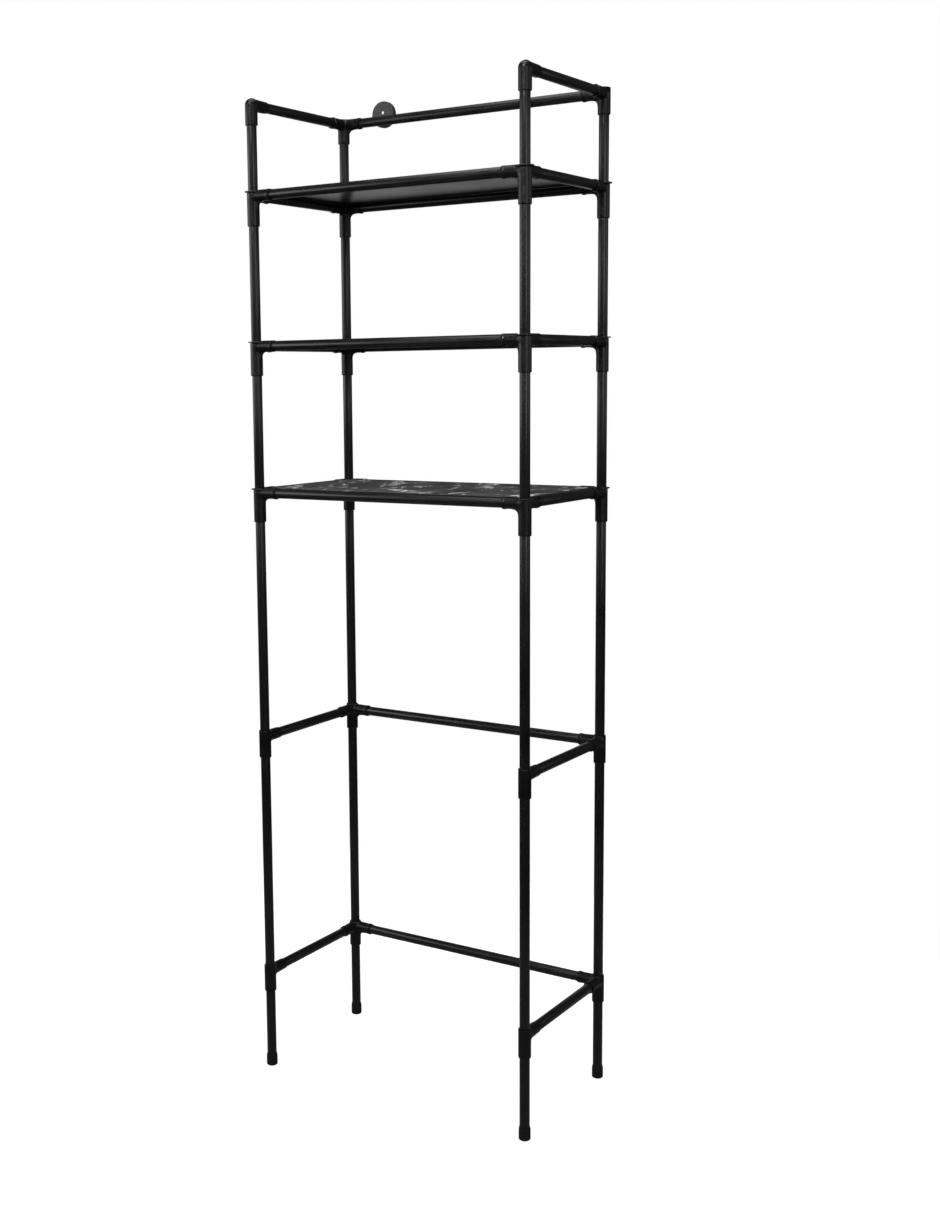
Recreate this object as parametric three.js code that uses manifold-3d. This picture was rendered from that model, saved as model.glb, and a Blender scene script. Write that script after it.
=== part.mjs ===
// Over-the-toilet storage rack, in millimetres. X runs left to right as seen from the front,
// Y from the front to the wall, Z up. The origin is on the floor, midway between the posts.
// Four tube posts stand on foot caps. Moulded corner connectors at six levels sleeve over the
// posts and take the ends of the side, back and front rails. Three thin boards lie between the
// rails of the shelf levels: their edges meet the shoulders of the rails, and a round ear at each
// corner lies on a ledge of the connector. A disc behind the top back rail screws to the wall.
import * as THREE from 'three';
import { mergeVertices } from 'three/addons/utils/BufferGeometryUtils.js';
import Module from 'manifold-3d';

const wasm = await Module();
wasm.setup();

// ---- driving dimensions ----
const postSpanX = 465; // between post axes, left to right
const postSpanY = 240; // between post axes, front to back
const lowLegHeight = 159; // floor to the axis of the lowest rails
const legPitch = 385; // lowest rails to middle rails, and middle rails to the lowest shelf
const shelfPitch = 224; // between the rail axes of neighbouring shelves
const guardHeight = 133; // top shelf rails to the top rails
const tubeRadius = 7.5;
const tubeWall = 0.6;
const roundSides = 12; // flat sides of every round piece

// connectors
const sleeveWall = 1.65; // round a post
const sleeveChamfer = 0.8; // at the lower mouth of a sleeve
const socketWall = 0.85; // round a rail end
const socketDepth = 20.4; // rail end inside its socket
const stopWall = 0.8; // between the recess for an ear and the bottom of a socket
const beadWidth = 4.5; // raised ring at the socket mouths of the corners
const beadHeight = 0.6;
const shelfSleeveDrop = 45; // rail axis to the lower end of a shelf corner
const legSleeveDrop = 33; // the same for a leg connector
const topSleeveDrop = 30; // the same for a top connector
const legSleeveRise = 10; // rail axis to the upper end of a leg connector
const ledgeHeight = 4.8; // rail axis to the ledge under an ear
const gussetSize = 9.5; // web under a front or back rail socket
const gussetThickness = 5;

// boards
const boardThickness = 1.8;
const earWidth = 4.75; // of the round ear around each post

// feet
const footHeight = 19;
const footFloor = 3; // thickness under the post
const footWall = 0.65; // at the upper rim
const footFlare = 0.4; // lower part wider than the upper rim
const footEdge = 1.8; // rounding of the lower edge

// wall disc
const discRadius = 20.5;
const discDepth = 8.5;
const discWall = 1.6;
const discChamfer = 0.8; // round the front face
const discInset = 73.5; // rear left post axis to disc centre
const discDrop = 2.7; // disc centre below the screw hole
const screwHoleRadius = 2.4;
const screwClearance = 1.2; // between the hole and the cradle
const cradleWall = 1.8; // behind the rail

// clearances
const fitGap = 0.25; // tube in a socket, sleeve or hole, all round
const seatGap = 0.3; // between faces that meet

// allowances for joining and cutting shapes
const weld = 1.5; // how far joined shapes reach into each other
const past = 1; // how far a cut runs on beyond the face it opens

// ---- sizes that follow ----
const middleLegHeight = lowLegHeight + legPitch;
const lowerShelfHeight = middleLegHeight + legPitch;
const middleShelfHeight = lowerShelfHeight + shelfPitch;
const upperShelfHeight = middleShelfHeight + shelfPitch;
const topHeight = upperShelfHeight + guardHeight;
const boreRadius = tubeRadius + fitGap;
const sleeveRadius = boreRadius + sleeveWall;
const socketRadius = boreRadius + socketWall;
const beadRadius = socketRadius + beadHeight;
const earRadius = boreRadius + earWidth;
const recessRadius = earRadius + seatGap; // round the ear, above the ledge
const railStop = recessRadius + stopWall; // post axis to the bottom of a socket
const socketReach = railStop + socketDepth; // post axis to the mouth of a socket
const beadStart = socketReach - beadWidth; // post axis to the near end of the bead
const boardSeat = ledgeHeight + seatGap; // rail axis to the underside of a board
const besideRound = (radius) => Math.sqrt(radius ** 2 - boardSeat ** 2) + seatGap;
const boardInset = besideRound(tubeRadius); // rail axis to the edge of the board
const armInset = besideRound(socketRadius); // the same beside a socket
const beadInset = besideRound(beadRadius); // the same beside the bead at its mouth
const wallReach = earRadius; // rear post axes to the wall, which the ears and the disc meet
const footTopRadius = boreRadius + footWall;
const footBaseRadius = footTopRadius + footFlare;
const cradleBore = tubeRadius + seatGap;
const cradleRadius = cradleBore + cradleWall;
const screwRise = cradleRadius + screwClearance + screwHoleRadius; // top rail axis to the hole
const discRise = screwRise - discDrop; // top rail axis to disc centre

// ---- materials ----
const finish = (color, roughness, metalness) =>
  new THREE.MeshStandardMaterial({ color, roughness, metalness });
const tubeFinish = () => finish(0x1b1a1b, 0.38, 0.35);
const connectorFinish = () => finish(0x161617, 0.5, 0);
const boardFinish = () => finish(0x232324, 0.35, 0);
const footFinish = () => finish(0x141414, 0.75, 0);
const discFinish = () => finish(0x4a4a4b, 0.55, 0);

// ---- geometry helpers ----

// A solid of revolution about Z from [radius, height] pairs.
function turned(profile) {
  const points = profile.map(([radius, height]) => new THREE.Vector2(radius, height));
  return new THREE.LatheGeometry(points, roundSides).rotateX(Math.PI / 2);
}

function rod(radius, from, to) {
  return turned([[0, from], [radius, from], [radius, to], [0, to]]);
}

function block(sizeX, sizeY, sizeZ, x, y, z) {
  return new THREE.BoxGeometry(sizeX, sizeY, sizeZ).translate(x, y, z);
}

// Turns a shape that points along +Z to point along a horizontal direction.
const turnTo = {
  right: (geometry) => geometry.rotateY(Math.PI / 2),
  left: (geometry) => geometry.rotateY(-Math.PI / 2),
  back: (geometry) => geometry.rotateX(-Math.PI / 2),
  front: (geometry) => geometry.rotateX(Math.PI / 2),
};

function solid(geometry) {
  const bare = geometry.clone();
  bare.deleteAttribute('normal');
  bare.deleteAttribute('uv');
  const merged = mergeVertices(bare, 1e-4);
  const corners = merged.index.array;
  const triangles = [];
  for (let i = 0; i < corners.length; i += 3) {
    const [a, b, c] = corners.slice(i, i + 3);
    if (a !== b && b !== c && c !== a) triangles.push(a, b, c);
  }
  return new wasm.Manifold(new wasm.Mesh({
    numProp: 3,
    vertProperties: new Float32Array(merged.attributes.position.array),
    triVerts: new Uint32Array(triangles),
  }));
}

const join = (geometries) => geometries.map(solid).reduce((whole, piece) => whole.add(piece));
const cut = (whole, geometries) =>
  geometries.map(solid).reduce((rest, piece) => rest.subtract(piece), whole);

function geometryOf(manifold) {
  const { vertProperties, triVerts } = manifold.getMesh();
  const geometry = new THREE.BufferGeometry();
  geometry.setAttribute('position', new THREE.BufferAttribute(vertProperties, 3));
  geometry.setIndex(new THREE.BufferAttribute(triVerts, 1));
  geometry.computeVertexNormals();
  return geometry;
}

// ---- pieces ----

function tube(length) {
  const inside = tubeRadius - tubeWall;
  return turned([[inside, 0], [tubeRadius, 0], [tubeRadius, length], [inside, length], [inside, 0]]);
}

function socket(direction, rootRadius, beaded) {
  const mouth = beaded
    ? [[socketRadius, beadStart], [beadRadius, beadStart + beadHeight], [beadRadius, socketReach]]
    : [[socketRadius, socketReach]];
  return turnTo[direction](turned([[0, 0], [rootRadius, 0], ...mouth, [0, socketReach]]));
}

const socketBore = (direction) => turnTo[direction](rod(boreRadius, railStop, socketReach + past));

// A web with a hollow curved edge, below a left or right socket and beside the sleeve.
function gusset(direction) {
  const side = direction === 'right' ? 1 : -1;
  const outer = sleeveRadius + gussetSize;
  const shape = new THREE.Shape();
  shape.moveTo(sleeveRadius - weld, -socketRadius + weld);
  shape.lineTo(sleeveRadius - weld, -socketRadius - gussetSize);
  shape.lineTo(sleeveRadius, -socketRadius - gussetSize);
  shape.absarc(outer, -socketRadius - gussetSize, gussetSize, Math.PI, Math.PI / 2, true);
  shape.lineTo(outer, -socketRadius + weld);
  const web = new THREE.ExtrudeGeometry(shape, {
    depth: gussetThickness,
    bevelEnabled: false,
    curveSegments: 4,
  });
  web.rotateX(Math.PI / 2).translate(0, gussetThickness / 2, 0);
  return side > 0 ? web : web.rotateZ(Math.PI);
}

function sleeve(drop, rise) {
  return turned([
    [0, -drop],
    [sleeveRadius - sleeveChamfer, -drop],
    [sleeveRadius, -drop + sleeveChamfer],
    [sleeveRadius, rise],
    [0, rise],
  ]);
}

// One moulded connector, with its origin where the rail axes meet the post axis.
function connector({ directions, drop, rise, rootRadius, boreTop, round, flatTop, ledge }) {
  const beaded = directions.length > 1;
  const pieces = [sleeve(drop, rise)];
  if (round) pieces.push(new THREE.SphereGeometry(sleeveRadius, roundSides, roundSides / 2)
    .rotateX(Math.PI / 2));
  for (const direction of directions) {
    pieces.push(socket(direction, rootRadius, beaded));
    if (direction === 'left' || direction === 'right') pieces.push(gusset(direction));
  }
  const cuts = directions.map(socketBore);
  cuts.push(rod(boreRadius, -drop - past, boreTop));
  if (flatTop) {
    const size = 4 * socketReach;
    cuts.push(block(size, size, size, 0, 0, socketRadius + size / 2));
  }
  if (ledge) cuts.push(rod(recessRadius, ledgeHeight, beadRadius + past));
  return geometryOf(cut(join(pieces), cuts));
}

const shelfCorner = (directions) => connector({
  directions,
  drop: shelfSleeveDrop,
  rise: ledgeHeight,
  rootRadius: socketRadius,
  boreTop: ledgeHeight + past,
  ledge: true,
});

const legConnector = (directions) => connector({
  directions,
  drop: legSleeveDrop,
  rise: legSleeveRise,
  rootRadius: sleeveRadius,
  boreTop: legSleeveRise + past,
});

const topConnector = (directions, round) => connector({
  directions,
  drop: topSleeveDrop,
  rise: round ? 0 : socketRadius,
  rootRadius: round ? sleeveRadius : socketRadius,
  boreTop: 0,
  round,
  flatTop: !round,
});

function footCap() {
  return turned([
    [0, 0],
    [footBaseRadius - footEdge, 0],
    [footBaseRadius - footEdge * (1 - Math.SQRT1_2), footEdge * (1 - Math.SQRT1_2)],
    [footBaseRadius, footEdge],
    [footTopRadius, footHeight],
    [boreRadius, footHeight],
    [boreRadius, footFloor],
    [0, footFloor],
  ]);
}

function board() {
  const halfX = postSpanX / 2;
  const halfY = postSpanY / 2;
  const slab = block(
    postSpanX - 2 * boardInset,
    postSpanY - 2 * boardInset,
    boardThickness,
    0,
    0,
    boardThickness / 2,
  );
  const armNotch = 2 * (socketReach + seatGap);
  const beadNotch = beadWidth + 2 * seatGap;
  const beadMiddle = (beadStart + socketReach) / 2;
  const tall = 2 * (boardThickness + past);
  const notches = [];
  const ears = [];
  const holes = [];
  for (const x of [-halfX, halfX]) {
    for (const y of [-halfY, halfY]) {
      const beadX = x - Math.sign(x) * beadMiddle;
      const beadY = y - Math.sign(y) * beadMiddle;
      notches.push(block(armNotch, 2 * armInset, tall, x, y, 0));
      notches.push(block(2 * armInset, armNotch, tall, x, y, 0));
      notches.push(block(beadNotch, 2 * beadInset, tall, beadX, y, 0));
      notches.push(block(2 * beadInset, beadNotch, tall, x, beadY, 0));
      ears.push(rod(earRadius, 0, boardThickness).translate(x, y, 0));
      holes.push(rod(boreRadius, -past, boardThickness + past).translate(x, y, 0));
    }
  }
  const notched = cut(solid(slab), notches);
  return geometryOf(cut(notched.add(join(ears)), holes));
}

// A shallow cup, open towards the wall, with a trough across it that cups the rail from behind.
// The origin is on the rail axis, and the wall is towards +Y.
function wallDisc() {
  const front = wallReach - discDepth;
  const facing = (geometry, height) => turnTo.back(geometry).translate(0, 0, height);
  const puck = facing(turned([
    [0, front],
    [discRadius - discChamfer, front],
    [discRadius, front + discChamfer],
    [discRadius, wallReach],
    [0, wallReach],
  ]), discRise);
  const hollow = facing(rod(discRadius - discWall, front + discWall, wallReach + past), discRise);
  const cradle = turnTo.right(rod(cradleRadius, -discRadius - past, discRadius + past));
  const rail = turnTo.right(rod(cradleBore, -discRadius - past, discRadius + past));
  const screwHole = facing(rod(screwHoleRadius, 0, wallReach), screwRise);
  const pocket = cut(solid(hollow), [cradle]);
  return geometryOf(cut(solid(puck).subtract(pocket), [rail, screwHole]));
}

// ---- assembly ----
const rack = new THREE.Group();

function place(name, geometry, material, x, y, z) {
  const mesh = new THREE.Mesh(geometry, material);
  mesh.name = name;
  mesh.position.set(x, y, z);
  rack.add(mesh);
}

const corners = [
  { name: 'front_left', x: -postSpanX / 2, y: -postSpanY / 2, inwardX: 'right', inwardY: 'back' },
  { name: 'front_right', x: postSpanX / 2, y: -postSpanY / 2, inwardX: 'left', inwardY: 'back' },
  { name: 'rear_left', x: -postSpanX / 2, y: postSpanY / 2, inwardX: 'right', inwardY: 'front' },
  { name: 'rear_right', x: postSpanX / 2, y: postSpanY / 2, inwardX: 'left', inwardY: 'front' },
];

// Each level has two side rails and a back rail; the shelf levels have a front rail and a board.
const levels = [
  { name: 'top', height: topHeight, shelf: false },
  { name: 'upper_shelf', height: upperShelfHeight, shelf: true },
  { name: 'middle_shelf', height: middleShelfHeight, shelf: true },
  { name: 'lower_shelf', height: lowerShelfHeight, shelf: true },
  { name: 'middle_leg', height: middleLegHeight, shelf: false },
  { name: 'low_leg', height: lowLegHeight, shelf: false },
];

function addPosts() {
  const foot = footFloor + seatGap;
  const top = topHeight - seatGap;
  for (const corner of corners) {
    place(`post_${corner.name}`, tube(top - foot), tubeFinish(), corner.x, corner.y, foot);
    place(`foot_cap_${corner.name}`, footCap(), footFinish(), corner.x, corner.y, 0);
  }
}

function addConnector(level, corner) {
  const rear = corner.inwardY === 'front';
  const takesTwo = rear || level.shelf;
  const directions = takesTwo ? [corner.inwardX, corner.inwardY] : [corner.inwardY];
  const kind = takesTwo ? 'corner' : level.name === 'top' ? 'elbow' : 'tee';
  let geometry;
  if (level.shelf) geometry = shelfCorner(directions);
  else if (level.name === 'top') geometry = topConnector(directions, !rear);
  else geometry = legConnector(directions);
  place(`${level.name}_${kind}_${corner.name}`, geometry, connectorFinish(),
    corner.x, corner.y, level.height);
}

function addRails(level) {
  const end = railStop + seatGap;
  const lengthX = postSpanX - 2 * end;
  const lengthY = postSpanY - 2 * end;
  for (const [side, x] of [['left', -postSpanX / 2], ['right', postSpanX / 2]]) {
    place(`${level.name}_side_rail_${side}`, turnTo.back(tube(lengthY)), tubeFinish(),
      x, -lengthY / 2, level.height);
  }
  const across = level.shelf ? [['back', 1], ['front', -1]] : [['back', 1]];
  for (const [side, sign] of across) {
    place(`${level.name}_${side}_rail`, turnTo.right(tube(lengthX)), tubeFinish(),
      -lengthX / 2, sign * postSpanY / 2, level.height);
  }
}

addPosts();
for (const level of levels) {
  for (const corner of corners) addConnector(level, corner);
  addRails(level);
  if (level.shelf) {
    place(`${level.name}_board`, board(), boardFinish(), 0, 0, level.height + boardSeat);
  }
}
place('wall_disc', wallDisc(), discFinish(), discInset - postSpanX / 2, postSpanY / 2, topHeight);

export default rack;
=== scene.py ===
"""Over-the-toilet storage rack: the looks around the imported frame. Metres, +Z up, wall at +Y."""
import math

import bmesh
import bpy
import numpy as np
from mathutils import Matrix, Vector


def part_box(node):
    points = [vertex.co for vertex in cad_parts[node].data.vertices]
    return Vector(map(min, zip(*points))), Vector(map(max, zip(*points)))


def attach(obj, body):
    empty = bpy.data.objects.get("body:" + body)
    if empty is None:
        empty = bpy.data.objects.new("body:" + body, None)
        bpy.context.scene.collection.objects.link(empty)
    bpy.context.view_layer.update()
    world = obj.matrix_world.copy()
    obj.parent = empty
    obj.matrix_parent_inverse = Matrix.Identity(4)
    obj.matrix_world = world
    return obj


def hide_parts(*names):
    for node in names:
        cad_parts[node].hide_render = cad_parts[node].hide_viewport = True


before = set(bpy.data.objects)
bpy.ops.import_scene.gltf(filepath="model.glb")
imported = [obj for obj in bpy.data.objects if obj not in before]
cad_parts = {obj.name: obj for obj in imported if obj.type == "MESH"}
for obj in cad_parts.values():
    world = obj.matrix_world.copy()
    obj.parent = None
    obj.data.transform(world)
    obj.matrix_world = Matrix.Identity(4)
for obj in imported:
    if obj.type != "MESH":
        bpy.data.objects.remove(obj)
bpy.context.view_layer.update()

MM = 0.001

# ---- places and sizes from the frame ----
CORNERS = ("front_left", "front_right", "rear_left", "rear_right")
SHELVES = ("lower_shelf", "middle_shelf", "upper_shelf")
LEVELS = ("low_leg", "middle_leg", "lower_shelf", "middle_shelf", "upper_shelf", "top")


def centre(node):
    low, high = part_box(node)
    return (low + high) / 2


def kind_at(level, corner):
    if level in SHELVES or corner.startswith("rear"):
        return "corner"
    return "elbow" if level == "top" else "tee"


POSTS = {corner: centre(f"post_{corner}") for corner in CORNERS}
HEIGHTS = {level: centre(f"{level}_side_rail_left").z for level in LEVELS}
post_low, post_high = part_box("post_front_left")
TUBE_RADIUS = (post_high.x - post_low.x) / 2
TUBE_WALL = 0.6 * MM
FIT = 0.25 * MM  # tube in a socket, all round
BORE_RADIUS = TUBE_RADIUS + FIT

shelf_low, shelf_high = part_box("upper_shelf_corner_front_left")
SOCKET_REACH = shelf_high.x - POSTS["front_left"].x
SLEEVE_RADIUS = POSTS["front_left"].x - shelf_low.x
SHELF_DROP = HEIGHTS["upper_shelf"] - shelf_low.z
leg_low, leg_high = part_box("low_leg_tee_front_left")
LEG_DROP = HEIGHTS["low_leg"] - leg_low.z
LEG_RISE = leg_high.z - HEIGHTS["low_leg"]
top_low, top_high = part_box("top_corner_rear_left")
TOP_DROP = HEIGHTS["top"] - top_low.z
SOCKET_RADIUS = top_high.z - HEIGHTS["top"]

rail_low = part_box("upper_shelf_front_rail")[0]
SEAT = 0.3 * MM  # between faces that meet
RAIL_STOP = rail_low.x - POSTS["front_left"].x - SEAT  # post axis to a socket's bottom
board_low, board_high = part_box("upper_shelf_board")
BOARD_THICKNESS = board_high.z - board_low.z
BOARD_SEAT = board_low.z - HEIGHTS["upper_shelf"]  # rail axis to the underside of a board
LEDGE = BOARD_SEAT - SEAT  # rail axis to the ledge that carries an ear
EAR_RADIUS = board_high.x - POSTS["front_right"].x


# ---- mesh building ----
SIDES = 48  # of everything round
TUBE_END_EDGE = 0.25 * MM


def new_piece(name, mesh, at=(0, 0, 0)):
    piece = bpy.data.objects.new(name, mesh)
    bpy.context.scene.collection.objects.link(piece)
    piece.location = at
    return piece


def finish_piece(piece, material, slot, *nodes):
    if not piece.data.materials:
        piece.data.materials.append(material)
    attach(piece, "root")
    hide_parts(*nodes)


def smooth(mesh, angle=35):
    """Smooth shading, with the edges that turn by more than this angle kept crisp."""
    mesh.polygons.foreach_set("use_smooth", [True] * len(mesh.polygons))
    work = bmesh.new()
    work.from_mesh(mesh)
    limit = math.radians(angle)
    for edge in work.edges:
        edge.smooth = len(edge.link_faces) == 2 and edge.calc_face_angle(0) < limit
    work.to_mesh(mesh)
    work.free()
    return mesh


def arc(radius, x, y, start, stop, steps):
    """Points on an arc, angles in degrees."""
    turns = [math.radians(start + (stop - start) * i / steps) for i in range(steps + 1)]
    return [(x + radius * math.cos(t), y + radius * math.sin(t)) for t in turns]


def lathe(name, profile):
    """A closed profile of (radius, height) turned about Z; points at radius 0 become poles."""
    work = bmesh.new()
    turns = [2 * math.pi * i / SIDES for i in range(SIDES)]
    rings = []
    for radius, height in profile:
        if radius == 0:
            rings.append([work.verts.new((0, 0, height))])
            continue
        rings.append([work.verts.new((radius * math.cos(t), radius * math.sin(t), height))
                      for t in turns])
    closed = len(rings[0]) > 1
    pairs = list(zip(rings, rings[1:])) + ([(rings[-1], rings[0])] if closed else [])
    for lower, upper in pairs:
        for i in range(SIDES):
            j = (i + 1) % SIDES
            if len(lower) == 1:
                work.faces.new((lower[0], upper[j], upper[i]))
            elif len(upper) == 1:
                work.faces.new((lower[i], lower[j], upper[0]))
            else:
                work.faces.new((lower[i], lower[j], upper[j], upper[i]))
    bmesh.ops.recalc_face_normals(work, faces=work.faces)
    mesh = bpy.data.meshes.new(name)
    work.to_mesh(mesh)
    work.free()
    return smooth(mesh)


def tube_mesh(name, length):
    """A steel tube on +Z from the origin, its ends rounded on the outside."""
    inner = TUBE_RADIUS - TUBE_WALL
    mid_wall = (inner + TUBE_RADIUS) / 2
    turn = TUBE_RADIUS - TUBE_END_EDGE
    bottom = arc(TUBE_END_EDGE, turn, TUBE_END_EDGE, -90, 0, 3)
    top = arc(TUBE_END_EDGE, turn, length - TUBE_END_EDGE, 0, 90, 3)
    return lathe(name, [(inner, 0), (mid_wall, 0)] + bottom + top + [(inner, length)])


# ---- moulded pieces: a distance field, meshed and pulled onto its surface ----
MARGIN = 3 * MM  # room round a shape that is meshed or drilled
PULLS = 4  # times that the vertices are pulled onto the surface
LONGEST_PULL = 0.4  # of a cell
PROBE = 0.02  # of a cell, for the slope of the field
LEAST_SLOPE = 0.2  # squared, so that a flat spot in the field gives no huge pull
NO_LENGTH = 1e-12  # so that a pull of no length isn't divided by zero


def blend(a, b, size):
    """Union of two fields with a fillet of about this size."""
    reach = np.maximum(size - np.abs(a - b), 0) / size
    return np.minimum(a, b) - reach * reach * size / 4


def trim(a, b, size):
    """Intersection of two fields with a rounded edge."""
    return -blend(-a, -b, size)


def rod_field(points, axis, start, stop, radius, edge):
    """A round bar along an axis; radius may be (at start, at stop)."""
    along = points[:, axis]
    others = [i for i in range(3) if i != axis]
    across = np.hypot(points[:, others[0]], points[:, others[1]])
    first, last = radius if isinstance(radius, tuple) else (radius, radius)
    share = np.clip((along - start) / (stop - start), 0, 1)
    side = across - (first + (last - first) * share - edge)
    end = np.abs(along - (start + stop) / 2) - (stop - start) / 2 + edge
    outside = np.hypot(np.maximum(side, 0), np.maximum(end, 0))
    return np.minimum(np.maximum(side, end), 0) + outside - edge


def block_field(points, low, high):
    middle = (np.array(low) + np.array(high)) / 2
    half = (np.array(high) - np.array(low)) / 2
    over = np.abs(points - middle) - half
    return np.minimum(over.max(1), 0) + np.linalg.norm(np.maximum(over, 0), axis=1)


def crossings(value):
    """Sum of each grid cell's edge crossings, in cells, and how many of its edges cross."""
    cells = tuple(n - 1 for n in value.shape)
    total = np.zeros(cells + (3,))
    hits = np.zeros(cells)
    base = np.stack(np.meshgrid(*[np.arange(n) for n in cells], indexing="ij"), -1)
    for axis in range(3):
        sides = [i for i in range(3) if i != axis]
        for offset_a in (0, 1):
            for offset_b in (0, 1):
                start = np.zeros(3, int)
                start[sides[0]] = offset_a
                start[sides[1]] = offset_b
                stop = start.copy()
                stop[axis] = 1
                window = [tuple(slice(o, o + n) for o, n in zip(corner, cells))
                          for corner in (start, stop)]
                a, b = value[window[0]], value[window[1]]
                crosses = (a < 0) != (b < 0)
                share = a[crosses] / (a[crosses] - b[crosses])
                point = base[crosses] + start.astype(float)
                point[:, axis] += share
                total[crosses] += point
                hits[crosses] += 1
    return total, hits


def moulded(name, field, low, high, cell):
    """Mesh of the zero level of field(points) between two corners, one vertex per cell."""
    low, high = np.array(low, float), np.array(high, float)
    counts = np.ceil((high - low) / cell).astype(int) + 1
    axes = [low[i] + cell * np.arange(counts[i]) for i in range(3)]
    grid = np.stack(np.meshgrid(*axes, indexing="ij"), -1)
    value = field(grid.reshape(-1, 3)).reshape(tuple(counts))
    total, hits = crossings(value)
    used = hits > 0
    number = np.full(hits.shape, -1)
    number[used] = np.arange(used.sum())
    points = low + cell * total[used] / hits[used][:, None]
    probe = PROBE * cell
    for _ in range(PULLS):
        distance = field(points)
        slope = np.stack([(field(points + probe * unit) - field(points - probe * unit))
                          / (2 * probe) for unit in np.eye(3)], 1)
        steepness = np.maximum((slope ** 2).sum(1), LEAST_SLOPE)
        step = -distance[:, None] * slope / steepness[:, None]
        length = np.linalg.norm(step, axis=1, keepdims=True)
        points += step * np.minimum(1, LONGEST_PULL * cell / np.maximum(length, NO_LENGTH))
    faces = []
    for axis in range(3):
        a, b = [i for i in range(3) if i != axis]
        near, far = [slice(None)] * 3, [slice(None)] * 3
        near[axis], far[axis] = slice(0, -1), slice(1, None)
        first, second = value[tuple(near)] < 0, value[tuple(far)] < 0
        for inside, flip in ((first & ~second, axis == 1), (~first & second, axis != 1)):
            at = np.argwhere(inside)
            ring = []
            for back_a, back_b in ((1, 1), (0, 1), (0, 0), (1, 0)):
                cell_at = at.copy()
                cell_at[:, a] -= back_a
                cell_at[:, b] -= back_b
                ring.append(number[tuple(cell_at.T)])
            faces += np.stack(ring[::-1] if flip else ring, 1).tolist()
    mesh = bpy.data.meshes.new(name)
    mesh.from_pydata(points.tolist(), [], faces)
    mesh.validate()
    return mesh


def bored(mesh, cutters):
    """The mesh with these cutter meshes taken out of it."""
    body = new_piece("moulding", mesh)
    drills = [new_piece("drill", cutter) for cutter in cutters]
    for drill in drills:
        modifier = body.modifiers.new("bore", "BOOLEAN")
        modifier.object = drill
        modifier.operation = "DIFFERENCE"
        modifier.solver = "EXACT"
    bpy.context.view_layer.update()
    evaluated = body.evaluated_get(bpy.context.evaluated_depsgraph_get())
    result = bpy.data.meshes.new_from_object(evaluated)
    for helper in drills + [body]:
        bpy.data.objects.remove(helper)
    return smooth(result)


def bore(axis, start, stop, radius=BORE_RADIUS):
    """A drill along an axis (0 is X, 1 is Y, 2 is Z), from its lower end to its upper."""
    mesh = lathe("drill", [(0, start), (radius, start), (radius, stop), (0, stop)])
    if axis == 0:
        mesh.transform(Matrix.Rotation(math.pi / 2, 4, "Y"))
    if axis == 1:
        mesh.transform(Matrix.Rotation(-math.pi / 2, 4, "X"))
    return mesh


# ---- connectors ----
GUSSET = 9.5 * MM  # radius of the web's hollow edge
GUSSET_HALF = 2.5 * MM  # half of the web's thickness
BEAD_WIDTH = 4.5 * MM
BEAD_RADIUS = SOCKET_RADIUS + 0.6 * MM
ARM_TOP = SOCKET_RADIUS - 0.3 * MM  # the arms of the shelf corners are flattened here
SPIGOT_RADIUS = TUBE_RADIUS - TUBE_WALL - 0.15 * MM
SPIGOT_LENGTH = 16 * MM
STOP_DEPTH = 2 * MM  # half of the web between two tubes in one connector
FLAT_RISE = MM  # a sleeve that rises less than this above its sockets has no bore on top
CONNECTOR_CELL = 0.85 * MM

SOFT_EDGE = 0.5 * MM
MOUTH_EDGE = 0.3 * MM
BEAD_LIP = 0.4 * MM  # from the socket's own end to the bead's face
BEAD_FILLET = 0.8 * MM
SLEEVE_EDGE = 0.8 * MM
GUSSET_EDGE = 0.8 * MM
GUSSET_FILLET = 1.6 * MM
SOCKET_FILLET = 3 * MM
RECESS_EDGE = 0.4 * MM


def socket_field(points, axis, root, beaded):
    """A rail socket on +X or +Y, tapered from its root, with or without a ring at the mouth."""
    radii = (root, SOCKET_RADIUS)
    if not beaded:
        return rod_field(points, axis, 0, SOCKET_REACH, radii, MOUTH_EDGE)
    body = rod_field(points, axis, 0, SOCKET_REACH - BEAD_LIP, radii, MOUTH_EDGE)
    bead = rod_field(points, axis, SOCKET_REACH - BEAD_WIDTH, SOCKET_REACH, BEAD_RADIUS, SOFT_EDGE)
    return blend(body, bead, BEAD_FILLET)


def gusset_field(points):
    """The web under the socket on +X, with a hollow curved edge."""
    outer = SLEEVE_RADIUS + GUSSET
    drop = SOCKET_RADIUS + GUSSET
    web = block_field(points, (0, -GUSSET_HALF, -drop), (outer, GUSSET_HALF, 0))
    hollow = np.hypot(points[:, 0] - outer, points[:, 2] + drop) - GUSSET
    return trim(web, -hollow, GUSSET_EDGE)


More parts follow.
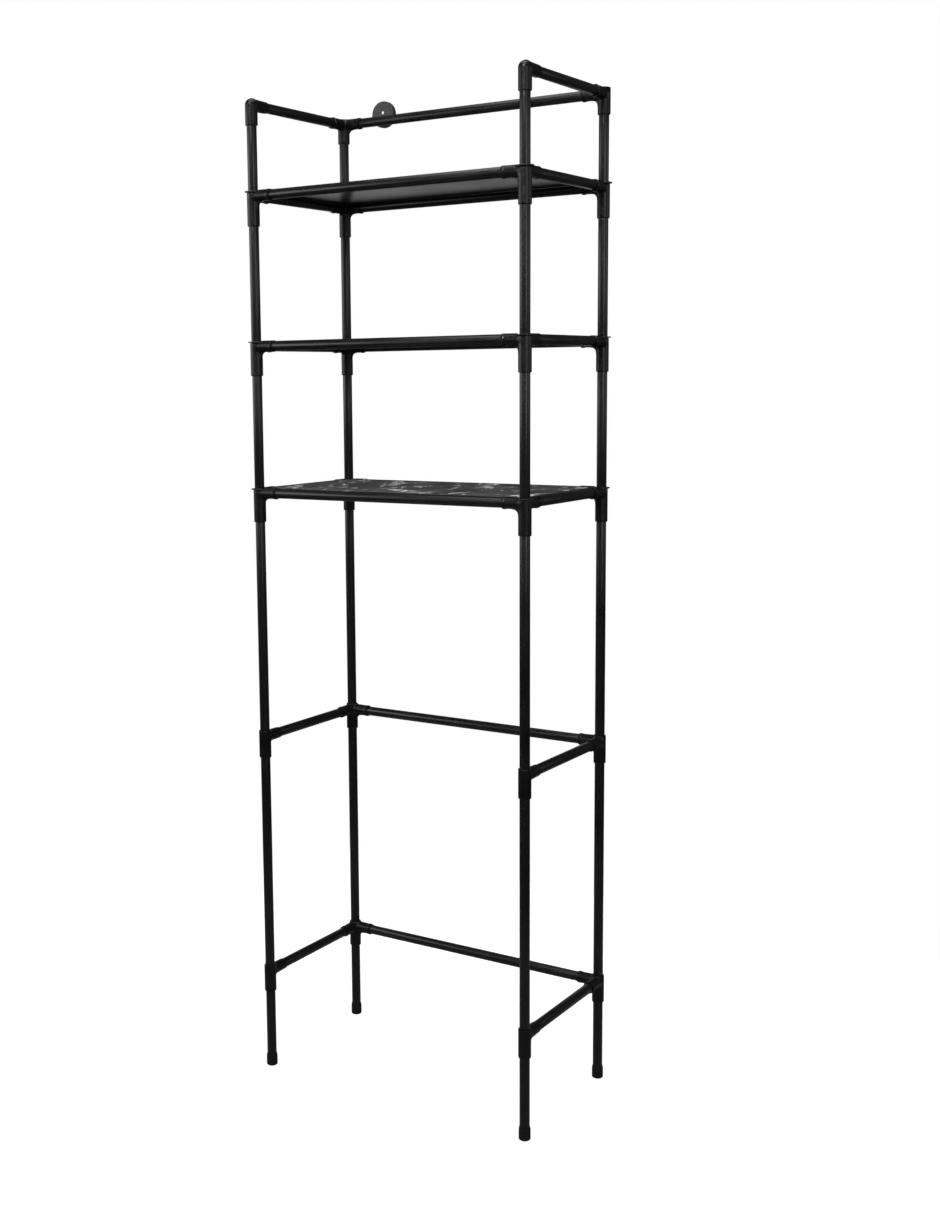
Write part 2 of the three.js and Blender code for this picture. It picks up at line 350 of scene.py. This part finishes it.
def connector_field(axes, drop, rise, root, flat_top, ledge, dome):
    """The outside of a connector: sleeve, sockets, web, and what its top is like."""
    def field(points):
        shape = rod_field(points, 2, -drop, rise, SLEEVE_RADIUS, SLEEVE_EDGE)
        if dome:
            shape = np.minimum(shape, np.linalg.norm(points, axis=1) - SLEEVE_RADIUS)
        for axis in axes:
            socket = socket_field(points, axis, root, beaded=len(axes) > 1)
            shape = blend(shape, socket, SOCKET_FILLET)
        if 0 in axes:
            shape = blend(shape, gusset_field(points), GUSSET_FILLET)
        if flat_top:
            shape = trim(shape, points[:, 2] - rise, SOFT_EDGE)
        if ledge:
            shape = trim(shape, points[:, 2] - ARM_TOP, SOFT_EDGE)
            across = np.hypot(points[:, 0], points[:, 1])
            recess = np.maximum(LEDGE - points[:, 2], across - EAR_RADIUS - SEAT)
            shape = trim(shape, -recess, RECESS_EDGE)
            spigot = rod_field(points, 2, 0, LEDGE + SPIGOT_LENGTH, SPIGOT_RADIUS, SOFT_EDGE)
            shape = np.minimum(shape, spigot)
        return shape
    return field


def connector_mesh(name, axes, drop, rise, root, flat_top=False, ledge=False, dome=False):
    """One connector with its sockets on +X and +Y, its origin where the axes meet."""
    field = connector_field(axes, drop, rise, root, flat_top, ledge, dome)
    wide = SLEEVE_RADIUS + MARGIN
    low = (-wide, -wide, -drop - MARGIN)
    reach = SOCKET_REACH + MARGIN
    tall = max(rise + (SPIGOT_LENGTH if ledge else 0), SLEEVE_RADIUS) + MARGIN
    high = (reach if 0 in axes else wide, reach, tall)
    outside = moulded(name, field, low, high, CONNECTOR_CELL)
    drills = [bore(axis, RAIL_STOP, reach) for axis in axes]
    drills.append(bore(2, -drop - MARGIN, -STOP_DEPTH))
    if rise > SOCKET_RADIUS + FLAT_RISE:
        drills.append(bore(2, STOP_DEPTH, rise + MARGIN))
    return bored(outside, drills)


# ---- materials ----
def shader(name):
    material = bpy.data.materials.new(name)
    material.use_nodes = True
    tree = material.node_tree
    return material, tree, tree.nodes["Principled BSDF"]


def add(tree, kind, **settings):
    node = tree.nodes.new(kind)
    for key, value in settings.items():
        setattr(node, key, value)
    return node


def ramp(tree, source, low, high, first, second):
    """Maps a value from low..high to first..second, held at the ends."""
    node = add(tree, "ShaderNodeMapRange")
    tree.links.new(source, node.inputs["Value"])
    node.inputs["From Min"].default_value = low
    node.inputs["From Max"].default_value = high
    node.inputs["To Min"].default_value = first
    node.inputs["To Max"].default_value = second
    return node.outputs["Result"]


def noise(tree, place, scale, detail, roughness=0.5, distortion=0.0):
    node = add(tree, "ShaderNodeTexNoise")
    node.inputs["Scale"].default_value = scale
    node.inputs["Detail"].default_value = detail
    node.inputs["Roughness"].default_value = roughness
    node.inputs["Distortion"].default_value = distortion
    tree.links.new(place, node.inputs["Vector"])
    return node.outputs["Fac"]


def mix_colour(tree, share, first, second):
    node = add(tree, "ShaderNodeMix", data_type="RGBA")
    tree.links.new(share, node.inputs["Factor"])
    for socket, value in ((node.inputs[6], first), (node.inputs[7], second)):
        if isinstance(value, tuple):
            socket.default_value = (*value, 1)
        else:
            tree.links.new(value, socket)
    return node.outputs[2]


def bump(tree, bsdf, height, distance, strength):
    node = add(tree, "ShaderNodeBump")
    node.inputs["Strength"].default_value = strength
    node.inputs["Distance"].default_value = distance
    tree.links.new(height, node.inputs["Height"])
    tree.links.new(node.outputs["Normal"], bsdf.inputs["Normal"])


SPREAD = (3.1, 5.3, 7.7)  # how far apart the copies of a piece lie in a pattern


def object_place(tree):
    """The piece's own coordinates, shifted by its random number so that copies differ."""
    coordinates = add(tree, "ShaderNodeTexCoord")
    info = add(tree, "ShaderNodeObjectInfo")
    shift = add(tree, "ShaderNodeVectorMath", operation="MULTIPLY_ADD")
    tree.links.new(info.outputs["Random"], shift.inputs[0])
    shift.inputs[1].default_value = SPREAD
    tree.links.new(coordinates.outputs["Object"], shift.inputs[2])
    return shift.outputs["Vector"]


def powder_coat():
    """Black powder coat on steel: faint orange peel, cloudy gloss, a warm tint, fine specks."""
    dark, light, speck = (0.0042, 0.0034, 0.0036), (0.0075, 0.0060, 0.0064), (0.020, 0.018, 0.018)
    material, tree, bsdf = shader("black_powder_coat")
    place = object_place(tree)
    cloud = noise(tree, place, scale=14, detail=4)
    grit = noise(tree, place, scale=2600, detail=1)
    orange_peel = noise(tree, place, scale=900, detail=2)
    tone = mix_colour(tree, ramp(tree, cloud, 0.35, 0.65, 0, 1), dark, light)
    colour = mix_colour(tree, ramp(tree, grit, 0.70, 0.78, 0, 0.4), tone, speck)
    tree.links.new(colour, bsdf.inputs["Base Color"])
    tree.links.new(ramp(tree, cloud, 0.3, 0.7, 0.27, 0.36), bsdf.inputs["Roughness"])
    bsdf.inputs["Specular IOR Level"].default_value = 0.42
    bump(tree, bsdf, orange_peel, distance=0.03 * MM, strength=0.4)
    return material


def moulded_plastic(name, dark, light, rough, grain=0.05 * MM):
    """Moulded plastic: fine grain of this depth, uneven sheen, slight scuffs."""
    worn = tuple(1.6 * channel + 0.003 for channel in light)
    material, tree, bsdf = shader(name)
    place = object_place(tree)
    cloud = noise(tree, place, scale=45, detail=4)
    grit = noise(tree, place, scale=1800, detail=2)
    scrape = noise(tree, place, scale=160, detail=5, roughness=0.7, distortion=1.5)
    tone = mix_colour(tree, ramp(tree, cloud, 0.35, 0.65, 0, 1), dark, light)
    colour = mix_colour(tree, ramp(tree, scrape, 0.62, 0.72, 0, 0.35), tone, worn)
    tree.links.new(colour, bsdf.inputs["Base Color"])
    sheen = ramp(tree, cloud, 0.3, 0.7, rough - 0.05, rough + 0.07)
    tree.links.new(sheen, bsdf.inputs["Roughness"])
    bsdf.inputs["Specular IOR Level"].default_value = 0.3
    bump(tree, bsdf, grit, distance=grain, strength=0.6)
    return material, tree, bsdf


def disc_plastic():
    """Grey plastic, with painted shade darkening the base colour round the rim of the disc, where
    its rounded edge turns away from the light.
    """
    dark, light, rim_painted_shade = (0.054, 0.054, 0.056), (0.066, 0.066, 0.068), (0.02, 0.02, 0.021)
    material, tree, bsdf = moulded_plastic("grey_disc_plastic_painted_rim_shade", dark, light, rough=0.55)
    low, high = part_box("wall_disc")
    radius = (high.x - low.x) / 2
    flat = add(tree, "ShaderNodeVectorMath", operation="MULTIPLY_ADD")
    tree.links.new(add(tree, "ShaderNodeTexCoord").outputs["Object"], flat.inputs[0])
    flat.inputs[1].default_value = (1, 0, 1)
    flat.inputs[2].default_value = (0, 0, HEIGHTS["top"] - (low.z + high.z) / 2)
    across = add(tree, "ShaderNodeVectorMath", operation="LENGTH")
    tree.links.new(flat.outputs["Vector"], across.inputs[0])
    # painted shade: the base colour is mixed towards a dark grey near the rim, standing in for the
    # shaded bevel
    rim = ramp(tree, across.outputs["Value"], radius - 1.5 * MM, radius - 0.7 * MM, 0, 0.6)
    plain = bsdf.inputs["Base Color"].links[0].from_socket
    tree.links.new(mix_colour(tree, rim, plain, rim_painted_shade), bsdf.inputs["Base Color"])
    return material


def maths(tree, operation, first, second=0):
    """A Math node on two sockets or numbers."""
    node = add(tree, "ShaderNodeMath", operation=operation)
    for socket, value in zip(node.inputs, (first, second)):
        if isinstance(value, (int, float)):
            socket.default_value = value
        else:
            tree.links.new(value, socket)
    return node.outputs[0]


def vein_lines(tree, place, scale, width, keep):
    """Lines where a noise is at its middle, broken off where a second noise is below keep."""
    winding = noise(tree, place, scale, detail=5, roughness=0.6, distortion=0.7)
    away = maths(tree, "ABSOLUTE", maths(tree, "SUBTRACT", winding, 0.5))
    line = ramp(tree, away, width * 0.5, width, 1, 0)
    breaks = noise(tree, place, scale * 2.3, detail=2)
    return maths(tree, "MULTIPLY", line, ramp(tree, breaks, keep, keep + 0.05, 0, 1))


def flecks(tree, place, scale, size, keep):
    """Small ragged spots, one at most in each cell, with only some of the cells holding one."""
    push = 0.5 / scale
    ragged = add(tree, "ShaderNodeTexNoise")
    ragged.inputs["Scale"].default_value = scale * 4
    ragged.inputs["Detail"].default_value = 3
    tree.links.new(place, ragged.inputs["Vector"])
    pushed = add(tree, "ShaderNodeVectorMath", operation="MULTIPLY_ADD")
    tree.links.new(ragged.outputs["Color"], pushed.inputs[0])
    pushed.inputs[1].default_value = (push, push, 0)
    tree.links.new(place, pushed.inputs[2])
    cells = add(tree, "ShaderNodeTexVoronoi")
    cells.inputs["Scale"].default_value = scale
    tree.links.new(pushed.outputs["Vector"], cells.inputs["Vector"])
    split = add(tree, "ShaderNodeSeparateColor")
    tree.links.new(cells.outputs["Color"], split.inputs[0])
    chosen = ramp(tree, split.outputs[0], keep, keep + 0.02, 0, 1)
    spot = ramp(tree, cells.outputs["Distance"], size * 0.6, size, 1, 0)
    return maths(tree, "MULTIPLY", spot, chosen)


def on_slab(tree, place):
    """1 on the slab between the rails, where the print is, and 0 on the ears."""
    axes = add(tree, "ShaderNodeSeparateXYZ")
    tree.links.new(place, axes.inputs[0])
    inside = []
    for axis, half in ((0, POSTS["front_right"].x), (1, POSTS["rear_right"].y)):
        away = maths(tree, "ABSOLUTE", axes.outputs[axis])
        inside.append(maths(tree, "LESS_THAN", away, half - TUBE_RADIUS))
    return maths(tree, "MULTIPLY", *inside)


MARBLE_TURN = 14  # degrees, of the print on the board
MARBLE_STRETCH = (1.5, 0.8, 1)
UNPRINTED = (0.010, 0.0097, 0.0097)


def marble_print(shelf, offset):
    """Black marble print: smoky ground, broken white veins and flecks, a few of them golden."""
    black, smoke_grey = (0.026, 0.026, 0.027), (0.108, 0.109, 0.112)
    vein_white, vein_gold = (0.93, 0.93, 0.92), (0.62, 0.56, 0.24)
    material, tree, bsdf = shader(f"black_marble_{shelf}")
    coordinates = add(tree, "ShaderNodeTexCoord")
    turn = add(tree, "ShaderNodeMapping")
    turn.inputs["Location"].default_value = offset
    turn.inputs["Rotation"].default_value = (0, 0, math.radians(MARBLE_TURN))
    turn.inputs["Scale"].default_value = MARBLE_STRETCH
    straight = coordinates.outputs["Object"]
    tree.links.new(straight, turn.inputs["Vector"])
    place = turn.outputs["Vector"]
    smoke = noise(tree, place, scale=16, detail=6, roughness=0.62, distortion=0.8)
    ground = mix_colour(tree, ramp(tree, smoke, 0.32, 0.68, 0, 1), black, smoke_grey)
    long_veins = vein_lines(tree, place, scale=6, width=0.013, keep=0.51)
    short_veins = vein_lines(tree, place, scale=14, width=0.022, keep=0.57)
    spots = flecks(tree, place, scale=34, size=0.20, keep=0.66)
    marks = maths(tree, "MAXIMUM", maths(tree, "MAXIMUM", long_veins, short_veins), spots)
    golden = ramp(tree, noise(tree, place, scale=9, detail=2), 0.58, 0.64, 0, 1)
    printed = mix_colour(tree, marks, ground, mix_colour(tree, golden, vein_white, vein_gold))
    colour = mix_colour(tree, on_slab(tree, straight), UNPRINTED, printed)
    tree.links.new(colour, bsdf.inputs["Base Color"])
    tree.links.new(ramp(tree, smoke, 0.3, 0.7, 0.40, 0.50), bsdf.inputs["Roughness"])
    bsdf.inputs["Specular IOR Level"].default_value = 0.08
    bump(tree, bsdf, noise(tree, straight, scale=650, detail=2), distance=0.02 * MM, strength=0.4)
    return material


def board_plain():
    """Unprinted black underside and edges of the boards: satin, lightly clouded."""
    dark, light = (0.0075, 0.0072, 0.0072), (0.013, 0.0125, 0.0125)
    material, tree, bsdf = shader("black_board_underside")
    place = object_place(tree)
    cloud = noise(tree, place, scale=9, detail=5, roughness=0.6, distortion=0.4)
    colour = mix_colour(tree, ramp(tree, cloud, 0.3, 0.7, 0, 1), dark, light)
    tree.links.new(colour, bsdf.inputs["Base Color"])
    tree.links.new(ramp(tree, cloud, 0.3, 0.7, 0.28, 0.36), bsdf.inputs["Roughness"])
    bsdf.inputs["Specular IOR Level"].default_value = 0.45
    bump(tree, bsdf, noise(tree, place, scale=420, detail=3), distance=0.03 * MM, strength=0.35)
    return material


COAT = powder_coat()
PLASTIC = moulded_plastic("black_moulded_plastic", dark=(0.0024, 0.0023, 0.0024),
                          light=(0.0044, 0.0042, 0.0043), rough=0.34)[0]
RUBBER = moulded_plastic("black_foot_rubber", dark=(0.005, 0.005, 0.005),
                         light=(0.009, 0.0088, 0.0088), rough=0.62, grain=0.09 * MM)[0]
PLAIN = board_plain()


# ---- tubes ----
WEB_GAP = 0.2 * MM  # between a tube's end and the web in its connector
EAR_GAP = 0.1 * MM  # between a tube's lower end and the ear of a board


def post_joints(corner):
    """Lowest and highest point of each tube length of a post, from the floor up."""
    starts, ends = [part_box(f"post_{corner}")[0].z], []
    for level in LEVELS:
        height = HEIGHTS[level]
        ends.append(height - STOP_DEPTH - WEB_GAP)
        if level in SHELVES:
            starts.append(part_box(f"{level}_board")[1].z + EAR_GAP)
        else:
            starts.append(height + STOP_DEPTH + WEB_GAP)
    return list(zip(starts, ends))


def build_posts():
    for corner in CORNERS:
        at = POSTS[corner]
        for number, (low, high) in enumerate(post_joints(corner), 1):
            name = f"post_tube_{corner}_{number}"
            piece = new_piece(name, tube_mesh(name, high - low), (at.x, at.y, low))
            finish_piece(piece, COAT, "coated_tube", f"post_{corner}")


def build_rails():
    """Rails along X and Y, each on the line of its CAD node."""
    for node in [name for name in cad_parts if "rail" in name]:
        low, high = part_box(node)
        at = (low + high) / 2
        along_x = high.x - low.x > high.y - low.y
        length = (high.x - low.x) if along_x else (high.y - low.y)
        mesh = tube_mesh(node + "_tube", length)
        mesh.transform(Matrix.Translation((0, 0, -length / 2)))
        mesh.transform(Matrix.Rotation(math.pi / 2, 4, "Y" if along_x else "X"))
        finish_piece(new_piece(node + "_tube", mesh, at), COAT, "coated_tube", node)


def build_connectors():
    """Each kind is meshed once, then mirrored into the corners that it goes to."""
    kinds = {
        "shelf": connector_mesh("shelf_corner", (0, 1), SHELF_DROP, LEDGE, SOCKET_RADIUS,
                                ledge=True),
        "leg_corner": connector_mesh("leg_corner", (0, 1), LEG_DROP, LEG_RISE, SLEEVE_RADIUS),
        "leg_tee": connector_mesh("leg_tee", (1,), LEG_DROP, LEG_RISE, SLEEVE_RADIUS),
        "top_corner": connector_mesh("top_corner", (0, 1), TOP_DROP, SOCKET_RADIUS,
                                     SOCKET_RADIUS, flat_top=True),
        "top_elbow": connector_mesh("top_elbow", (1,), TOP_DROP, 0, SLEEVE_RADIUS, dome=True),
    }
    for level in LEVELS:
        for corner in CORNERS:
            kind = kind_at(level, corner)
            group = "shelf" if level in SHELVES else level.split("_")[-1] + "_" + kind
            mesh = kinds[group].copy()
            side_x = -1 if corner.endswith("right") else 1
            side_y = -1 if corner.startswith("rear") else 1
            mesh.transform(Matrix.Diagonal((side_x, side_y, 1, 1)))
            if side_x * side_y < 0:
                mesh.flip_normals()
            at = POSTS[corner]
            node = f"{level}_{kind}_{corner}"
            piece = new_piece(node + "_moulding", mesh, (at.x, at.y, HEIGHTS[level]))
            finish_piece(piece, PLASTIC, "connector_plastic", node)
    for mesh in kinds.values():
        bpy.data.meshes.remove(mesh)


# ---- foot caps ----
FOOT_SOLE_EDGE = 2.2 * MM
FOOT_TAPER = 0.4 * MM  # by which the cap is slimmer above its sole
FOOT_RIM_EDGE = 0.3 * MM
GROOVE_RADIUS = 0.5 * MM
GROOVE_OFFSET = 0.55 * MM  # the groove's centre, outside the cap
GROOVE_DROP = 5 * MM  # the groove's centre, below the rim


def build_feet():
    for corner in CORNERS:
        node = f"foot_cap_{corner}"
        low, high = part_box(node)
        wide = (high.x - low.x) / 2
        rim = wide - FOOT_TAPER
        height = high.z - low.z
        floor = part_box(f"post_{corner}")[0].z - SEAT
        sole = arc(FOOT_SOLE_EDGE, wide - FOOT_SOLE_EDGE, FOOT_SOLE_EDGE, -90, 0, 6)
        groove = arc(GROOVE_RADIUS, rim + GROOVE_OFFSET, height - GROOVE_DROP, 250, 110, 6)
        top = arc(FOOT_RIM_EDGE, rim - FOOT_RIM_EDGE, height - FOOT_RIM_EDGE, 0, 90, 3)
        socket = [(BORE_RADIUS, height), (BORE_RADIUS, floor), (0, floor)]
        profile = [(0, 0)] + sole + groove + top + socket
        at = POSTS[corner]
        piece = new_piece(node + "_cap", lathe(node + "_cap", profile), (at.x, at.y, low.z))
        finish_piece(piece, RUBBER, "foot_rubber", node)


# ---- shelf boards ----
BOARD_EDGE = 0.4 * MM  # how far a board's edge is rounded
EAR_HOLE_RADIUS = SPIGOT_RADIUS + 0.1 * MM
EAR_HOLE_SIDES = 32
SAME_PLACE = 0.02 * MM  # vertices nearer than this are one
PRINT_OFFSETS = {"lower_shelf": (0.3, 0.1, 0), "middle_shelf": (1.7, 2.2, 0),
                 "upper_shelf": (4.1, 3.3, 0)}  # so that no two boards have the same marble
FACES_UP = 0.9  # least Z of a top face's normal


def beside_round(radius):
    """Axis of a round piece to the edge of a board beside it."""
    return math.sqrt(radius ** 2 - BOARD_SEAT ** 2) + SEAT


def corner_outline():
    """The outline round the post of the +X +Y corner, from the right edge to the back edge."""
    edge = beside_round(TUBE_RADIUS)
    beside_arm = beside_round(SOCKET_RADIUS)
    beside_bead = beside_round(BEAD_RADIUS)
    mouth = SOCKET_REACH + SEAT
    bead = SOCKET_REACH - BEAD_WIDTH - SEAT
    steps = [(edge, mouth), (beside_bead, mouth), (beside_bead, bead), (beside_arm, bead)]
    neck = math.degrees(math.acos(beside_arm / EAR_RADIUS))
    ear = arc(EAR_RADIUS, 0, 0, 180 + neck, 270 + 360 - neck, SIDES)
    return [(-a, -b) for a, b in steps] + ear + [(-b, -a) for a, b in steps[::-1]]


def board_outline():
    """Half spans to the post axes, and the outline with a round ear at each corner."""
    half_x, half_y = POSTS["front_right"].x, POSTS["rear_right"].y
    outline = []
    for side_x, side_y in ((1, 1), (-1, 1), (-1, -1), (1, -1)):
        corner = [(side_x * (half_x + x), side_y * (half_y + y)) for x, y in corner_outline()]
        outline += corner if side_x == side_y else corner[::-1]
    return half_x, half_y, outline


def board_mesh(name):
    """A thin board with softened edges and a hole through each ear for the connector's spigot."""
    half_x, half_y, outline = board_outline()
    loops = [outline]
    for x in (-half_x, half_x):
        for y in (-half_y, half_y):
            loops.append(arc(EAR_HOLE_RADIUS, x, y, 0, 360, EAR_HOLE_SIDES)[:-1])
    curve = bpy.data.curves.new(name, "CURVE")
    curve.dimensions = "2D"
    curve.fill_mode = "BOTH"
    curve.extrude = BOARD_THICKNESS / 2 - BOARD_EDGE
    curve.bevel_depth = BOARD_EDGE
    curve.bevel_resolution = 2
    curve.offset = -BOARD_EDGE
    for loop in loops:
        spline = curve.splines.new("POLY")
        spline.points.add(len(loop) - 1)
        for point, (x, y) in zip(spline.points, loop):
            point.co = (x, y, 0, 1)
        spline.use_cyclic_u = True
    helper = bpy.data.objects.new(name, curve)
    bpy.context.scene.collection.objects.link(helper)
    bpy.context.view_layer.update()
    evaluated = helper.evaluated_get(bpy.context.evaluated_depsgraph_get())
    mesh = bpy.data.meshes.new_from_object(evaluated)
    bpy.data.objects.remove(helper)
    work = bmesh.new()
    work.from_mesh(mesh)
    bmesh.ops.remove_doubles(work, verts=work.verts, dist=SAME_PLACE)
    bmesh.ops.recalc_face_normals(work, faces=work.faces)
    work.to_mesh(mesh)
    work.free()
    return smooth(mesh, 40)


def build_boards():
    for shelf in SHELVES:
        node = f"{shelf}_board"
        mesh = board_mesh(node + "_panel")
        marble = marble_print(shelf, PRINT_OFFSETS[shelf])
        mesh.materials.append(marble)
        mesh.materials.append(PLAIN)
        for face in mesh.polygons:
            face.material_index = 0 if face.normal.z > FACES_UP else 1
        piece = new_piece(node + "_panel", mesh, (0, 0, centre(node).z))
        finish_piece(piece, marble, "marble_board", node)


# ---- wall disc ----
SCREW_HOLE_RADIUS = 2.4 * MM
SCREW_HOLE_RISE = 2.7 * MM  # above the centre of the disc
DISC_WALL = 1.6 * MM
CRADLE_WALL = 1.8 * MM
DISC_EDGE = 0.9 * MM
CRADLE_EDGE = 0.8 * MM
DISC_INNER_EDGE = 0.4 * MM
DISC_CELL = 0.6 * MM


def disc_field(front, back, rise, radius):
    """A shallow cup, open at the back, with a trough along X for the rail at the origin."""
    trough = TUBE_RADIUS + SEAT
    cradle = trough + CRADLE_WALL

    def field(points):
        raised = points - np.array([0, 0, rise])
        cup = rod_field(raised, 1, front, back, radius, DISC_EDGE)
        across = np.hypot(raised[:, 0], raised[:, 2])
        from_rail = np.hypot(points[:, 1], points[:, 2])
        hollow = np.maximum(across - radius + DISC_WALL, front + DISC_WALL - points[:, 1])
        hollow = trim(hollow, cradle - from_rail, CRADLE_EDGE)
        cup = trim(cup, -hollow, DISC_INNER_EDGE)
        return trim(cup, trough - from_rail, DISC_INNER_EDGE)
    return field


def build_disc():
    low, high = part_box("wall_disc")
    at = Vector(((low.x + high.x) / 2, POSTS["rear_left"].y, HEIGHTS["top"]))
    radius = (high.x - low.x) / 2
    rise = (low.z + high.z) / 2 - at.z
    front, back = low.y - at.y, high.y - at.y
    cup = moulded("wall_disc_cup", disc_field(front, back, rise, radius),
                  (-radius - MARGIN, front - MARGIN, rise - radius - MARGIN),
                  (radius + MARGIN, back + MARGIN, rise + radius + MARGIN), DISC_CELL)
    hole = bore(1, 0, back + MARGIN, SCREW_HOLE_RADIUS)
    hole.transform(Matrix.Translation((0, 0, rise + SCREW_HOLE_RISE)))
    piece = new_piece("wall_disc_cup", bored(cup, [hole]), at)
    finish_piece(piece, disc_plastic(), "disc_plastic", "wall_disc")


# ---- stage, light, camera ----
FLOOR_HALF = 0.9  # half of the floor's side
FLOOR_GREY = (0.35, 0.35, 0.35, 1)
FLOOR_GLOW = 0.9  # what the camera sees on top of the lit grey
WHITE = (1, 1, 1, 1)
WORLD_LIGHT = 0.06


def build_stage():
    """A small pale floor, which the camera sees as white as the background."""
    work = bmesh.new()
    bmesh.ops.create_grid(work, x_segments=1, y_segments=1, size=FLOOR_HALF)
    mesh = bpy.data.meshes.new("floor")
    work.to_mesh(mesh)
    work.free()
    floor = new_piece("floor", mesh)
    material, tree, bsdf = shader("pale_floor")
    bsdf.inputs["Base Color"].default_value = FLOOR_GREY
    bsdf.inputs["Roughness"].default_value = 0.9
    bsdf.inputs["Specular IOR Level"].default_value = 0.1
    bsdf.inputs["Emission Color"].default_value = WHITE
    seen = tree.nodes.new("ShaderNodeLightPath")
    glow = ramp(tree, seen.outputs["Is Camera Ray"], 0, 1, 0, FLOOR_GLOW)
    tree.links.new(glow, bsdf.inputs["Emission Strength"])
    mesh.materials.append(material)


def add_light(name, at, aim, size, radiance, spread=180):
    """An area light that the camera doesn't see; size is (across, up), spread is in degrees."""
    data = bpy.data.lights.new(name, "AREA")
    data.shape = "RECTANGLE"
    data.size, data.size_y = size
    data.energy = radiance * math.pi * size[0] * size[1]
    data.spread = math.radians(spread)
    light = bpy.data.objects.new(name, data)
    bpy.context.scene.collection.objects.link(light)
    light.location = at
    light.rotation_euler = (Vector(aim) - Vector(at)).to_track_quat("-Z", "Y").to_euler()
    light.visible_camera = False


def build_world():
    """White to the camera, and dim for all other rays, so that the softboxes make the light."""
    world = bpy.data.worlds.new("studio")
    bpy.context.scene.world = world
    world.use_nodes = True
    tree = world.node_tree
    seen = tree.nodes.new("ShaderNodeLightPath")
    dim = tree.nodes["Background"]
    dim.inputs["Color"].default_value = WHITE
    dim.inputs["Strength"].default_value = WORLD_LIGHT
    white = tree.nodes.new("ShaderNodeBackground")
    white.inputs["Color"].default_value = WHITE
    white.inputs["Strength"].default_value = 1.0
    mix = tree.nodes.new("ShaderNodeMixShader")
    tree.links.new(seen.outputs["Is Camera Ray"], mix.inputs[0])
    tree.links.new(dim.outputs[0], mix.inputs[1])
    tree.links.new(white.outputs[0], mix.inputs[2])
    tree.links.new(mix.outputs[0], tree.nodes["World Output"].inputs["Surface"])


def build_light():
    build_world()
    floor, waist, shelves = (0, 0, 0), (0, 0, 1.1), (0, 0, 1.35)
    add_light("right_softbox", (1.95, -1.15, 1.42), shelves, size=(0.8, 1.0), radiance=3.6)
    add_light("left_softbox", (-1.95, -1.15, 1.42), shelves, size=(2.2, 1.0), radiance=2.9)
    add_light("front_fill", (0.2, -2.9, 1.45), shelves, size=(3.4, 1.0), radiance=0.4)
    add_light("front_high", (0.3, -2.3, 2.7), waist, size=(1.4, 0.6), radiance=1.5, spread=36)
    add_light("right_rear_fill", (2.3, 0.9, 1.42), shelves, size=(2.0, 1.0), radiance=1.0)
    add_light("back_panel", (-1.6, 2.3, 0.75), waist, size=(3.2, 0.7), radiance=0.5)
    add_light("overhead", (0, -0.4, 3.6), floor, size=(2.4, 2.4), radiance=2.8)


CAMERA_PLACE = (1.2537, -1.9926, 1.1031)
CAMERA_AZIMUTH = math.radians(33.954)
CAMERA_PITCH = math.radians(-7.57)
CAMERA_ROLL = math.radians(-0.681)


def build_camera():
    data = bpy.data.cameras.new("camera")
    data.sensor_width = 36
    data.lens = 45.716
    data.shift_x = 0.0727
    data.shift_y = -0.0203
    data.dof.use_dof = False
    camera = bpy.data.objects.new("camera", data)
    bpy.context.scene.collection.objects.link(camera)
    camera.matrix_world = (Matrix.Translation(CAMERA_PLACE)
                           @ Matrix.Rotation(CAMERA_AZIMUTH, 4, "Z")
                           @ Matrix.Rotation(math.pi / 2 + CAMERA_PITCH, 4, "X")
                           @ Matrix.Rotation(CAMERA_ROLL, 4, "Z"))
    bpy.context.scene.camera = camera


build_camera()
build_posts()
build_rails()
build_connectors()
build_feet()
build_boards()
build_disc()
build_stage()
build_light()
bpy.context.scene.view_settings.view_transform = "Standard"
